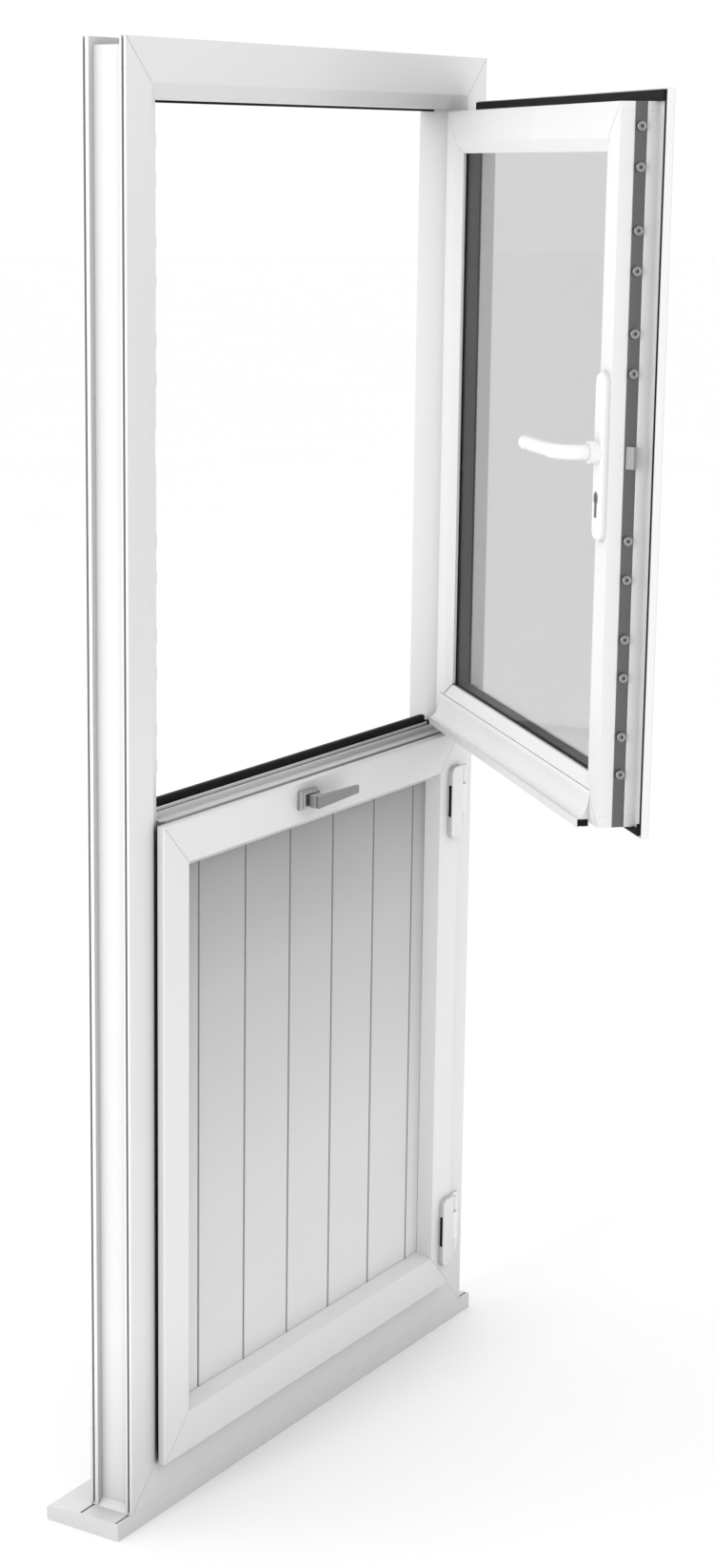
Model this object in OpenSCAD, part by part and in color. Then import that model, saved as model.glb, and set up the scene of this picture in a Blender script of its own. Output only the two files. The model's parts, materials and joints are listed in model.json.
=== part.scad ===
// Stable door of white plastic profile: a frame on a projecting cill, a boarded
// lower leaf and a glazed upper leaf, both opening inwards on the same hinge line.
// X runs along the width, Y from the room to the outside, Z up.
// The origin is on the underside of the cill, at mid width and mid frame depth.
// Inside the file everything is drawn from the frame's lower lock side corner
// on the room side, and place() moves it to the origin.

/* [Frame] */
// Width over the frame
frame_w = 925; // [800:1:1120]
// Height over the frame, without the cill
frame_h = 1975; // [1640:1:2380]
// Depth of the frame from room face to outside face
frame_d = 70; // [60:1:90]
// Width of the flat room face of a frame member
frame_flat = 55; // [44:0.5:66]
// Width of the sloped edge beside the opening
slope_w = 20; // [14:0.5:24]
// How far the sloped edge falls back
slope_d = 9.4; // [7:0.2:12]
// Depth of the fixing channel in the outer side
channel_d = 10; // [6:0.5:13]
// Width of the rib on the room side of the channel
rib_front = 10; // [8.5:0.5:14]
// Width of the rib on the outside of the channel
rib_back = 12.5; // [9.5:0.5:16]
// Width of the narrow clip groove in each rib
clip_w = 3.5; // [2:0.1:4]
// Depth of the clip groove
clip_d = 5; // [2:0.5:8]
// Distance of the clip groove from the rib's outer edge
clip_in = 3.7; // [2:0.1:5]
// Wall left round the steel in each jamb
steel_cover = 6; // [4:0.5:8]
// Wall thickness of the steel tube
steel_t = 2; // [1.5:0.5:3]

/* [Cill] */
// Height of the cill
cill_h = 25; // [20:0.5:40]
// Projection of the cill past the outside face of the frame
cill_nose = 52; // [35:1:90]
// Projection of the cill past each end of the frame
cill_horn = 31; // [15:1:60]
// Fall of the cill top from frame to nose
cill_fall = 6; // [3:0.5:10]
// Thickness of the cill end cap
cap_t = 2; // [1.5:0.1:4]

/* [Leaves] */
// Gap from jamb to leaf on the lock side
gap_lock = 8; // [7:0.1:12]
// Gap from jamb to leaf on the hinge side
gap_hinge = 5; // [4:0.1:8]
// Gap from head to upper leaf
gap_head = 4; // [3:0.1:8]
// Gap from threshold to lower leaf
gap_foot = 8; // [4:0.1:12]
// Distance of the flange from the frame's room face
flange_gap = 5; // [4:0.1:7]
// Thickness of the flange
flange_t = 10.5; // [8:0.1:13]
// Flange cover past the leaf body on the lock side
lap_lock = 26; // [18:0.5:30]
// Flange cover past the leaf body on the hinge side
lap_hinge = 14; // [10:0.5:16]
// Flange cover past the leaf body at the head
lap_head = 15; // [10:0.5:20]
// Flange cover past the leaf body at the threshold
lap_foot = 27; // [18:0.5:30]
// Flange cover past the leaf body at the meeting rails
lap_meet_low = 4; // [2:0.5:6]
// Flange cover of the upper leaf past its bottom rail
lap_meet_up = 11; // [6:0.5:14]
// Outside plane of both leaves, from the frame's room face
leaf_back = 45; // [42:0.5:46]
// Height of the lower leaf's body top above the frame's bottom
lower_top = 962; // [800:1:1150]
// Clearance between the body of the lower leaf and the upper one
meet_gap = 29; // [29:0.5:34]
// Flat width of a leaf member from flange edge to bead
face_w = 56; // [54:0.5:66]
// Reach of the outer glazing lip from body edge
lip_w = 60; // [54:0.5:72]
// Width of the slope on the outer lip
lip_slope_w = 17; // [8:0.5:18]
// Depth of the slope on the outer lip
lip_slope_d = 8; // [4:0.5:9]
// Width of the glazing bead
bead_w = 15; // [10:0.5:18]
// Room side of the lower panel, from the frame's room face
panel_front = 5; // [2:0.5:8]
// Width of one board on the lower panel
board_w = 116.5; // [80:0.5:150]
// Width of the first part board
board_first = 52; // [20:0.5:80]
// Width of the groove between boards
board_groove = 4; // [3:0.5:8]
// Thickness of one pane
pane_t = 4; // [3:0.5:6]
// Room between the two panes
pane_space = 16; // [10:0.5:16]
// Edge clearance of the panes in the rebate
pane_edge = 5; // [3:0.5:7]
// Opening angle of the upper leaf at rest
upper_open = 45.2; // [0:0.1:90]

/* [Hinges] */
// Distance of the hinge line beyond the hinge side edge of the flange
hinge_out = 21; // [18:0.1:24]
// Distance of the hinge line in front of the frame's room face
hinge_fwd = 8; // [7.5:0.1:12]
// Radius of the knuckles
knuckle_r = 6.5; // [5:0.1:7]
// Radius of the hinge pin
pin_r = 3; // [2.5:0.1:4]
// Height of one hinge
hinge_len = 90; // [60:1:100]
// Height of one hinge cover
cover_h = 111; // [105:1:120]
// Distance from flange end to the centre of each hinge near the meeting line
hinge_in = 110; // [80:1:140]
// Distance from flange end to the centre of each hinge at head and threshold
hinge_end = 94; // [80:1:140]

/* [Lower catch] */
// Centre of the lever from the lock side edge of the frame
catch_x = 410; // [250:1:460]
// Width of the catch rose
rose_w = 46; // [34:0.5:54]
// Height of the catch rose
rose_h = 27; // [24:0.5:36]
// Length of the catch lever from its centre
catch_len = 97; // [70:1:120]
// Throw of the catch bolt
catch_throw = 13; // [8:0.5:13]

/* [Upper lock] */
// Height of the latch above the bottom of the upper leaf's body
latch_up = 472.5; // [300:0.5:520]
// Distance of the handle's centre from the lock edge
backset = 21; // [20.5:0.1:21]
// Projection of the latch from the edge
latch_out = 7; // [5:0.1:7.2]
// Projection of the rollers from the edge
roller_out = 5; // [3:0.1:5]
// Radius of a roller
roller_r = 6; // [5:0.1:6.5]
// Distance from latch to the first roller
roller_first = 104; // [100:1:120]
// Distance between the two rollers of a pair
roller_pair = 49; // [46:1:60]
// Distance from pair to pair
roller_step = 125; // [110:1:140]
// Most pairs on each side of the latch
roller_pairs = 3; // [1:1:3]
// Travel of the rods each way
rod_travel = 18; // [12:0.5:18]
// Width of the edge plate
edge_plate_w = 16; // [14:0.5:18]
// Length of the handle plates
plate_h = 212; // [190:1:240]
// Width of the handle plates
plate_w = 30; // [26:0.5:32]
// Thickness of the handle plates
plate_t = 9; // [6:0.5:12]
// Height of the lever above the middle of the plate
lever_up = 6; // [0:0.5:10]
// Length of the upper lever from its centre
lever_len = 150; // [110:1:160]
// Distance of the lever's grip from the leaf face
lever_off = 58; // [40:0.5:62]
// Radius of the grip
grip_r = 9.5; // [7:0.1:11]
// Distance of the key cylinder below the lever
key_down = 58; // [50:0.5:72]
// Distance from the leaf's edges to the rain deflector's ends
rain_in = 22; // [16:0.5:60]
// Projection of the rain deflector
rain_out = 17; // [12:0.5:24]
// Height of the rain deflector
rain_h = 49; // [30:0.5:60]
// Height of the rain deflector's lip
rain_lip = 11; // [8:0.5:14]
// Width of the upper seal's run along the lock edge
seal_run = 4; // [3:0.5:12]

/* [Hidden] */
$fn = 48;

white = [0.93, 0.93, 0.92];
black = [0.06, 0.06, 0.06];
silver = [0.74, 0.74, 0.75];
grey = [0.42, 0.43, 0.44];
steel = [0.6, 0.62, 0.64];
eps = 0.5;

frame_in = frame_flat + slope_w;
leaf_x0 = frame_in + gap_lock;
leaf_x1 = frame_w - frame_in - gap_hinge;
low_z0 = frame_in + gap_foot;
low_z1 = lower_top;
up_z0 = lower_top + meet_gap;
up_z1 = frame_h - frame_in - gap_head;
flange_back = -flange_gap;
flange_front = -flange_gap - flange_t;
low_rect = [leaf_x0, low_z0, leaf_x1, low_z1];
up_rect = [leaf_x0, up_z0, leaf_x1, up_z1];
low_lap = [lap_lock, lap_foot, lap_hinge, lap_meet_low];
up_lap = [lap_lock, lap_meet_up, lap_hinge, lap_head];
solid_w = face_w - lap_lock;
low_flange = [leaf_x0 - lap_lock, low_z0 - lap_foot, leaf_x1 + lap_hinge, low_z1 + lap_meet_low];
up_flange = [leaf_x0 - lap_lock, up_z0 - lap_meet_up, leaf_x1 + lap_hinge, up_z1 + lap_head];
low_face = inset_rect(low_flange, [face_w, face_w, face_w, face_w]);
up_face = inset_rect(up_flange, [face_w, face_w, face_w, face_w]);
low_lip = [for (i = [0 : 3]) max(lip_w, face_w - low_lap[i] + 14)];
up_lip = [for (i = [0 : 3]) max(lip_w, face_w - up_lap[i] + 14)];
rebate_y = leaf_back - 12;
glass_back = rebate_y - 1;
glass_front = glass_back - 2 * pane_t - pane_space;
axis_x = up_flange[2] + hinge_out;
axis_y = -hinge_fwd;
latch_z = up_z0 + latch_up;
lever_z = latch_z + lever_up;
key_z = lever_z - key_down;
handle_x = leaf_x0 + backset;
roller_y = 18;
edge_y0 = 10;
edge_y1 = edge_y0 + edge_plate_w;
catch_z = low_z1 - 22;
bolt_y0 = 12;
bolt_y1 = 21;
bolt_z0 = catch_z - 15.5;
bolt_z1 = catch_z - 7.5;
sides = ["lock", "foot", "hinge", "head"];
roller_room = roller_first + roller_pair + rod_travel + roller_r + 3;
pairs_up = min(roller_pairs, floor((up_z1 - latch_z - roller_room) / roller_step) + 1);
pairs_down = min(roller_pairs, floor((latch_z - up_z0 - roller_room) / roller_step) + 1);
low_hinge_z = [low_flange[3] - hinge_in, low_flange[1] + hinge_end];
up_hinge_z = [up_flange[3] - hinge_end, up_flange[1] + hinge_in];
bore_fit = 0.05;
slide_fit = 0.4;

// Rectangle made smaller by one distance on each of its sides.
function inset_rect(r, d) = [r[0] + d[0], r[1] + d[1], r[2] - d[2], r[3] - d[3]];

// Height of the roller number j of pair i, going up (s = 1) or down (s = -1).
function roller_z(s, i, j) = latch_z + s * (roller_first + i * roller_step + j * roller_pair);

// Moves everything to the origin on the cill's underside.
module place() {
  translate([-frame_w / 2, -frame_d / 2, cill_h])
    children();
}

// Turns the upper leaf about the hinge line to its open rest position.
module open_upper() {
  place()
    translate([axis_x, axis_y, 0])
      rotate([0, 0, upper_open])
        translate([-axis_x, -axis_y, 0])
          children();
}

// Box between two opposite corners.
module box(a, b) {
  translate(a)
    cube([b[0] - a[0], b[1] - a[1], b[2] - a[2]]);
}

// Round bar along Y from y0 to y1.
module bar_y(x, z, r, y0, y1) {
  translate([x, y0, z])
    rotate([-90, 0, 0])
      cylinder(r = r, h = y1 - y0);
}

// Plate drawn in X and Z and given thickness along Y.
module slab_y(y0, y1) {
  translate([0, y1, 0])
    rotate([90, 0, 0])
      linear_extrude(height = y1 - y0)
        children();
}

// Section in distance from edge and depth, run along one side of a rectangle.
module along(side, r, e) {
  if (side == "lock")
    translate([r[0], 0, r[1] - e])
      linear_extrude(height = r[3] - r[1] + 2 * e)
        children();
  if (side == "hinge")
    translate([r[2], 0, r[1] - e])
      mirror([1, 0, 0])
        linear_extrude(height = r[3] - r[1] + 2 * e)
          children();
  if (side == "foot")
    translate([r[0] - e, 0, r[1]])
      mirror([1, 0, -1])
        linear_extrude(height = r[2] - r[0] + 2 * e)
          children();
  if (side == "head")
    translate([r[0] - e, 0, r[3]])
      mirror([0, 0, 1])
        mirror([1, 0, -1])
          linear_extrude(height = r[2] - r[0] + 2 * e)
            children();
}

// Corner points of the area of one side, cut at 45 degrees from its neighbours.
function sector(side, r, e, m) =
  side == "lock" ? [[r[0] - e, r[1] - e], [r[0] + m, r[1] + m], [r[0] + m, r[3] - m], [r[0] - e, r[3] + e]] :
  side == "hinge" ? [[r[2] + e, r[1] - e], [r[2] + e, r[3] + e], [r[2] - m, r[3] - m], [r[2] - m, r[1] + m]] :
  side == "foot" ? [[r[0] - e, r[1] - e], [r[2] + e, r[1] - e], [r[2] - m, r[1] + m], [r[0] + m, r[1] + m]] :
  [[r[0] - e, r[3] + e], [r[0] + m, r[3] - m], [r[2] - m, r[3] - m], [r[2] + e, r[3] + e]];

// One mitred length of a section.
module member(side, r, e, m) {
  intersection() {
    along(side, r, e)
      children();
    slab_y(-60, 140)
      polygon(sector(side, r, e, m));
  }
}

// The four mitred lengths of a section joined into one ring.
module ring(r, e, m) {
  for (side = sides)
    member(side, r, e, m)
      children();
}

// Flat ring between two rectangles.
module flat_ring(outer, inner, y0, y1) {
  difference() {
    box([outer[0], y0, outer[1]], [outer[2], y1, outer[3]]);
    box([inner[0], y0 - eps, inner[1]], [inner[2], y1 + eps, inner[3]]);
  }
}

// Outline of a frame member, with or without the fixing channel.
module frame_section(channel) {
  difference() {
    polygon([[0, 0], [frame_flat, 0], [frame_in, slope_d], [frame_in, frame_d], [0, frame_d]]);
    if (channel) {
      translate([-eps, rib_front])
        square([channel_d + eps, frame_d - rib_front - rib_back]);
      translate([-eps, clip_in])
        square([clip_d + eps, clip_w]);
      translate([-eps, frame_d - clip_in - clip_w])
        square([clip_d + eps, clip_w]);
    }
  }
}

// Chamber in a jamb that takes the steel tube.
module chamber_section(inset) {
  translate([channel_d + steel_cover + inset, slope_d + steel_cover + inset])
    square([frame_in - channel_d - steel_cover - 15 - 2 * inset, frame_d - slope_d - 2 * steel_cover - 2 * inset]);
}

module frame_rect_member(side, channel) {
  member(side, [0, 0, frame_w, frame_h], 0, frame_in + 10)
    frame_section(channel);
}

module frame_head() {
  color(white)
    place()
      frame_rect_member("head", true);
}

module frame_threshold() {
  color(white)
    place()
      frame_rect_member("foot", false);
}

module jamb(side) {
  difference() {
    frame_rect_member(side, true);
    intersection() {
      along(side, [0, 0, frame_w, frame_h], 0)
        chamber_section(0);
      box([0, 0, frame_in], [frame_w, frame_d, frame_h - frame_in]);
    }
  }
}

module frame_jamb_lock() {
  color(white)
    place()
      difference() {
        jamb("lock");
        box([frame_in - 9, bolt_y0 - 1, bolt_z0 - 1], [frame_in + eps, bolt_y1 + 1, bolt_z1 + 1]);
      }
}

module frame_jamb_hinge() {
  color(white)
    place()
      jamb("hinge");
}

module steel_tube(side) {
  intersection() {
    along(side, [0, 0, frame_w, frame_h], 0)
      difference() {
        chamber_section(0);
        chamber_section(steel_t);
      }
    box([0, 0, frame_in], [frame_w, frame_d, frame_h - frame_in]);
  }
}

module frame_steel_lock() {
  color(steel)
    place()
      steel_tube("lock");
}

module frame_steel_hinge() {
  color(steel)
    place()
      steel_tube("hinge");
}

// Weather seal standing on the reveal, just outside the leaves.
module frame_seal() {
  color(black)
    place()
      difference() {
        ring([frame_in, frame_in, frame_w - frame_in, frame_h - frame_in], 0, 10)
          translate([0, leaf_back + 2])
            square([3, 6]);
        box([frame_w - frame_in - 4, leaf_back, lower_top - 4], [frame_w - frame_in + 1, frame_d, frame_h - frame_in - 3]);
      }
}

// Outline of the cill in depth and height.
module cill_section(grooved) {
  difference() {
    polygon([[0, 0], [frame_d, 0], [frame_d + cill_nose, -cill_fall], [frame_d + cill_nose, 3 - cill_h],
      [frame_d + cill_nose - 3, -cill_h], [0, -cill_h]]);
    if (grooved) {
      translate([clip_in, -3])
        square([clip_w, 3 + eps]);
      translate([frame_d - clip_in - clip_w, -3])
        square([clip_w, 3 + eps]);
    }
  }
}

module cill_run(x0, x1, grooved) {
  translate([x0, 0, 0])
    rotate([90, 0, 90])
      linear_extrude(height = x1 - x0)
        cill_section(grooved);
}

module cill() {
  color(white)
    place()
      cill_run(-cill_horn, frame_w + cill_horn, true);
}

module cill_cap_lock() {
  color(white)
    place()
      cill_run(-cill_horn - cap_t, -cill_horn, false);
}

module cill_cap_hinge() {
  color(white)
    place()
      cill_run(frame_w + cill_horn, frame_w + cill_horn + cap_t, false);
}

// Lip that one roller slides behind.
module keep_lip(z) {
  box([frame_in, slope_d + 0.8, z - rod_travel - 8], [frame_in + 4.2, 11.7, z - rod_travel + 8]);
}

// Long keep on the lock jamb: a plate with a lip for each roller and a latch window.
module upper_keep() {
  color(silver)
    place()
      difference() {
        union() {
          box([frame_in, slope_d + 0.2, roller_z(-1, pairs_down - 1, 1) - 40],
            [frame_in + 1.5, 29, roller_z(1, pairs_up - 1, 1) + 30]);
          for (i = [0 : pairs_up - 1], j = [0, 1])
            keep_lip(roller_z(1, i, j));
          for (i = [0 : pairs_down - 1], j = [0, 1])
            keep_lip(roller_z(-1, i, j));
        }
        box([frame_in - eps, 0, latch_z - 24], [frame_in + 8, 26, latch_z + 24]);
      }
}

module lower_keep() {
  color(silver)
    place()
      difference() {
        box([frame_in, slope_d + 0.2, bolt_z0 - 14], [frame_in + 1.5, bolt_y1 + 6, bolt_z1 + 6]);
        box([frame_in - eps, bolt_y0 - 1, bolt_z0 - 1], [frame_in + 8, bolt_y1 + 1, bolt_z1 + 1]);
      }
}

// Outline of a leaf member from its flange edge, with the body set back by o.
module leaf_section(o, lip) {
  polygon([[1.5, flange_front], [face_w, flange_front], [face_w, rebate_y], [o + lip, rebate_y],
    [o + lip, leaf_back - lip_slope_d], [o + lip - lip_slope_w, leaf_back], [o, leaf_back],
    [o, flange_back], [0, flange_back], [0, flange_front + 1.5]]);
}

module leaf_member(side, body, flange, lap, lips) {
  i = side == "lock" ? 0 : side == "foot" ? 1 : side == "hinge" ? 2 : 3;
  intersection() {
    member(side, flange, 0, lap_lock + lip_w + 40)
      leaf_section(lap[i], lips[i]);
    union() {
      box([flange[0], flange_front, flange[1]], [flange[2], flange_back, flange[3]]);
      box([body[0], flange_front, body[1]], [body[2], leaf_back, body[3]]);
    }
  }
}

module lower_member(side) {
  leaf_member(side, low_rect, low_flange, low_lap, low_lip);
}

module upper_member(side) {
  leaf_member(side, up_rect, up_flange, up_lap, up_lip);
}

// Bead that holds a pane or panel whose room face is at depth y.
module bead_ring(face, y) {
  ring(face, 0, bead_w + 10)
    polygon([[0, flange_front], [3, flange_front], [bead_w, y - 1], [bead_w, y], [0, y]]);
}

// Seal on the back of the flange, from the body out to a narrow white rim.
module flange_seal(r, flange) {
  flat_ring([flange[0] + 4, flange[1] + 4, flange[2] - 4, flange[3] - 1.5], r, flange_back, -0.4);
}

// Tunnel of the lower bolt.
module bolt_tunnel() {
  box([leaf_x0 - eps, bolt_y0 - slide_fit, bolt_z0 - slide_fit],
    [catch_x + 8 + catch_throw, bolt_y1 + slide_fit, bolt_z1 + slide_fit]);
}

module lower_rail_top() {
  color(white)
    place()
      difference() {
        lower_member("head");
        bolt_tunnel();
        bar_y(catch_x, catch_z, 5.2, flange_front - eps, bolt_y0);
        bar_y(catch_x, catch_z, 7.1, bolt_y0 - 1, bolt_y1 + 1);
      }
}

module lower_rail_bottom() {
  color(white)
    place()
      lower_member("foot");
}

module lower_stile_lock() {
  color(white)
    place()
      difference() {
        lower_member("lock");
        bolt_tunnel();
      }
}

module lower_stile_hinge() {
  color(white)
    place()
      lower_member("hinge");
}

module lower_bead() {
  color(white)
    place()
      bead_ring(low_face, panel_front);
}

// Vertical groove between two boards, on both faces of the panel.
module board_cut(x) {
  for (y = [panel_front, rebate_y])
    translate([x, y, low_z0])
      rotate([0, 0, 45])
        translate([-board_groove / 2, -board_groove / 2, 0])
          cube([board_groove, board_groove, low_z1 - low_z0]);
}

module lower_panel() {
  r = inset_rect(low_face, [pane_edge, pane_edge, pane_edge, pane_edge]);
  n = floor((r[2] - r[0] - board_first - 10) / board_w);
  color(white)
    place()
      difference() {
        box([r[0], panel_front, r[1]], [r[2], rebate_y, r[3]]);
        for (i = [0 : n])
          board_cut(r[0] + board_first + i * board_w);
      }
}

module lower_gasket() {
  color(black)
    place()
      flange_seal(low_rect, low_flange);
}

// Weather profile on top of the lower leaf.
module meeting_strip() {
  color(white)
    place()
      translate([leaf_x0, 0, low_z1])
        rotate([90, 0, 90])
          linear_extrude(height = leaf_x1 - leaf_x0)
            polygon([[0, 0], [leaf_back, 0], [leaf_back, 8], [29, 8], [29, 6], [26, 6], [26, 12],
              [20, 12], [20, 5], [8, 3], [0, 6]]);
}

module meeting_gasket() {
  color(black)
    place()
      translate([leaf_x0, 0, low_z1 + 8])
        rotate([90, 0, 90])
          linear_extrude(height = leaf_x1 - leaf_x0)
            polygon([[30, 0], [leaf_back, 0], [leaf_back - 1, 6], [leaf_back - 4, 8.5], [34, 8.5], [31, 5]]);
}

module catch_rose() {
  w = rose_w / 2;
  h = rose_h / 2;
  y1 = flange_front - 11;
  color(silver)
    place()
      difference() {
        union() {
          slab_y(y1 + 4, flange_front)
            translate([catch_x - w, catch_z - h])
              square([rose_w, rose_h]);
          slab_y(y1, y1 + 4)
            translate([catch_x - w + 2.5, catch_z - h + 2.5])
              square([rose_w - 5, rose_h - 5]);
        }
        bar_y(catch_x, catch_z, 8 + bore_fit, y1 - eps, flange_front + eps);
      }
}

// Window type lever with its square spindle and drive wheel.
module catch_lever() {
  y1 = flange_front - 11.4;
  color(silver)
    place()
      union() {
        bar_y(catch_x, catch_z, 8, y1 - 12, flange_front - 0.3);
        bar_y(catch_x, catch_z, 9, y1 - 14, y1);
        slab_y(y1 - 19, y1 - 13.4)
          translate([catch_x, catch_z])
            polygon([[-13, -9.2], [catch_len, -5.8], [catch_len, 5.8], [-13, 9.2]]);
        box([catch_x - 3.5, flange_front - 0.5, catch_z - 3.5], [catch_x + 3.5, bolt_y0 + 1, catch_z + 3.5]);
        bar_y(catch_x, catch_z, 6.7, bolt_y0, bolt_y1);
      }
}

module catch_bolt() {
  color(silver)
    place()
      box([leaf_x0 + 1, bolt_y0, bolt_z0], [catch_x + 8, bolt_y1, bolt_z1]);
}

// Knuckle of one hinge between two heights, measured from its middle.
module knuckle(z, a, b) {
  translate([axis_x, axis_y, z + a])
    cylinder(r = knuckle_r, h = b - a);
}

// Frame side of a hinge: plate on the jamb, two knuckles and the pin.
module hinge_frame(z) {
  k = hinge_len / 2;
  box([axis_x + knuckle_r + slide_fit, -3, z - k], [axis_x + 26, 0, z + k]);
  for (s = [[-k, -k / 2], [k / 2, k]]) {
    knuckle(z, s[0], s[1]);
    box([axis_x - knuckle_r, axis_y, z + s[0]], [axis_x + knuckle_r, 0, z + s[1]]);
    box([axis_x, -3, z + s[0]], [axis_x + knuckle_r + 1, 0, z + s[1]]);
  }
  translate([axis_x, axis_y, z - k])
    cylinder(r = pin_r, h = hinge_len);
}

// Leaf side of a hinge: plate on the flange and the middle knuckle.
module hinge_leaf(z) {
  k = hinge_len / 4 - slide_fit;
  difference() {
    union() {
      knuckle(z, -k, k);
      box([up_flange[2] - 3, flange_front - 2.5, z - k], [axis_x, flange_front, z + k]);
      box([axis_x - knuckle_r, flange_front - 2.5, z - k], [axis_x, axis_y, z + k]);
      box([up_flange[2] - 31, flange_front - 2.5, z - hinge_len / 2], [up_flange[2] - 3, flange_front, z + hinge_len / 2]);
    }
    translate([axis_x, axis_y, z - hinge_len])
      cylinder(r = pin_r + bore_fit, h = 2 * hinge_len);
  }
}

// Cover clipped over the hinge plate, rounded away from the hinge line.
module hinge_cover(z) {
  x0 = up_flange[2] - 34;
  x1 = up_flange[2] - 1;
  h = cover_h / 2;
  difference() {
    slab_y(flange_front - 7.5, flange_front)
      union() {
        translate([x0 + 9, z - h])
          square([x1 - x0 - 9, cover_h]);
        translate([x0, z - h + 9])
          square([12, cover_h - 18]);
        for (s = [-1, 1])
          translate([x0 + 9, z + s * (h - 9)])
            circle(r = 9);
      }
    box([up_flange[2] - 31, flange_front - 2.5, z - hinge_len / 2], [x1 + eps, flange_front + eps, z + hinge_len / 2]);
    box([x0 - eps, flange_front - 6, z - 22], [x0 + 4, flange_front - 1, z + 28]);
  }
}

module upper_hinge_frame_top() {
  color(steel)
    place()
      hinge_frame(up_hinge_z[0]);
}

module upper_hinge_frame_bottom() {
  color(steel)
    place()
      hinge_frame(up_hinge_z[1]);
}

module lower_hinge_frame_top() {
  color(steel)
    place()
      hinge_frame(low_hinge_z[0]);
}

module lower_hinge_frame_bottom() {
  color(steel)
    place()
      hinge_frame(low_hinge_z[1]);
}

module lower_hinge_leaf_top() {
  color(steel)
    place()
      hinge_leaf(low_hinge_z[0]);
}

module lower_hinge_leaf_bottom() {
  color(steel)
    place()
      hinge_leaf(low_hinge_z[1]);
}

module lower_cover_top() {
  color(white)
    place()
      hinge_cover(low_hinge_z[0]);
}

module lower_cover_bottom() {
  color(white)
    place()
      hinge_cover(low_hinge_z[1]);
}

module upper_hinge_leaf_top() {
  color(steel)
    open_upper()
      hinge_leaf(up_hinge_z[0]);
}

module upper_hinge_leaf_bottom() {
  color(steel)
    open_upper()
      hinge_leaf(up_hinge_z[1]);
}

module upper_cover_top() {
  color(white)
    open_upper()
      hinge_cover(up_hinge_z[0]);
}

module upper_cover_bottom() {
  color(white)
    open_upper()
      hinge_cover(up_hinge_z[1]);
}

module upper_rail_top() {
  color(white)
    open_upper()
      difference() {
        upper_member("head");
        edge_groove();
      }
}

module upper_rail_bottom() {
  color(white)
    open_upper()
      difference() {
        upper_member("foot");
        edge_groove();
      }
}

module upper_stile_hinge() {
  color(white)
    open_upper()
      upper_member("hinge");
}

// Outline of the key cylinder in X and Z.
module key_outline(c) {
  translate([handle_x, key_z])
    circle(r = 8.4 + c);
  translate([handle_x - 5 - c, key_z - 24.5 - c])
    square([10 + 2 * c, 20]);
}

// Heights of the lock case.
case_z0 = key_z - 26;
case_z1 = latch_z + 24;

// Groove for the edge plate and the rods, cut through the ends of both rails too.
module edge_groove() {
  box([leaf_x0 - eps, edge_y0, up_z0 - 50], [leaf_x0 + 3, edge_y1, up_z1 + 50]);
  box([leaf_x0, 12, up_z0 + 12], [leaf_x0 + 9, 24, up_z1 - 5]);
}

// Lock stile: grooved along its edge for plate, rods and lock case.
module upper_stile_lock() {
  color(white)
    open_upper()
      difference() {
        upper_member("lock");
        edge_groove();
        box([leaf_x0, 10.5, case_z0], [leaf_x0 + solid_w - 0.5, 25.5, case_z1]);
        bar_y(handle_x, lever_z, 6.5, flange_front - eps, leaf_back + eps);
        slab_y(flange_front - eps, leaf_back + eps)
          key_outline(0);
      }
}

module upper_bead() {
  color(white)
    open_upper()
      bead_ring(up_face, glass_front);
}

// Flat pane inside the glazing rebate.
module pane(y0, y1) {
  r = inset_rect(up_face, [pane_edge, pane_edge, pane_edge, pane_edge]);
  box([r[0], y0, r[1]], [r[2], y1, r[3]]);
}

module pane_inner() {
  color([0.8, 0.88, 0.86, 0.4])
    open_upper()
      pane(glass_front, glass_front + pane_t);
}

module pane_outer() {
  color([0.8, 0.88, 0.86, 0.4])
    open_upper()
      pane(glass_back - pane_t, glass_back);
}

module pane_spacer() {
  color(grey)
    open_upper()
      ring(up_face, 0, pane_edge + 20)
        translate([pane_edge + 1, glass_front + pane_t])
          square([11, pane_space]);
}

module glazing_gasket() {
  edge = inset_rect(up_rect, up_lip);
  color(black)
    open_upper()
      flat_ring(inset_rect(edge, [-8, -8, -8, -8]), edge, glass_back, rebate_y);
}

module upper_gasket() {
  color(black)
    open_upper()
      difference() {
        flat_ring([up_flange[0] + 2.5, up_flange[1] + 4, up_flange[2] - 4, up_flange[3] - 1.5],
          [up_flange[0] + 2.5 + seal_run, up_rect[1], up_rect[2], up_rect[3]], flange_back, -0.4);
        box([up_flange[0], flange_back + 1, up_rect[1] + 8], [up_rect[0] - eps, 0, up_rect[3]]);
      }
}

// Hollow curve of the rain deflector in depth and height, from its lip up to the rail.
function rain_curve() = [for (i = [0 : 10])
  [leaf_back + rain_out * (1 - sin(9 * i)), rain_h - (rain_h - rain_lip) * cos(9 * i)]];

// Rain deflector along the outside of the upper leaf's bottom rail.
module rain_deflector() {
  color(white)
    open_upper()
      translate([leaf_x0 + rain_in + 12, 0, up_z0 - 6])
        rotate([90, 0, 90])
          linear_extrude(height = leaf_x1 - leaf_x0 - 2 * rain_in - 12)
            difference() {
              polygon(concat([[leaf_back, 0], [leaf_back + rain_out, 0]], rain_curve()));
              translate([leaf_back + rain_out - 8, -eps])
                square([4, 4]);
            }
}

// Slot in the edge plate for one roller stem.
module roller_slot(z) {
  for (s = [-1, 1])
    translate([leaf_x0 - eps, roller_y, z + s * rod_travel])
      rotate([0, 90, 0])
        cylinder(r = 3, h = 4);
  box([leaf_x0 - eps, roller_y - 3, z - rod_travel], [leaf_x0 + 3.5, roller_y + 3, z + rod_travel]);
}

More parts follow.
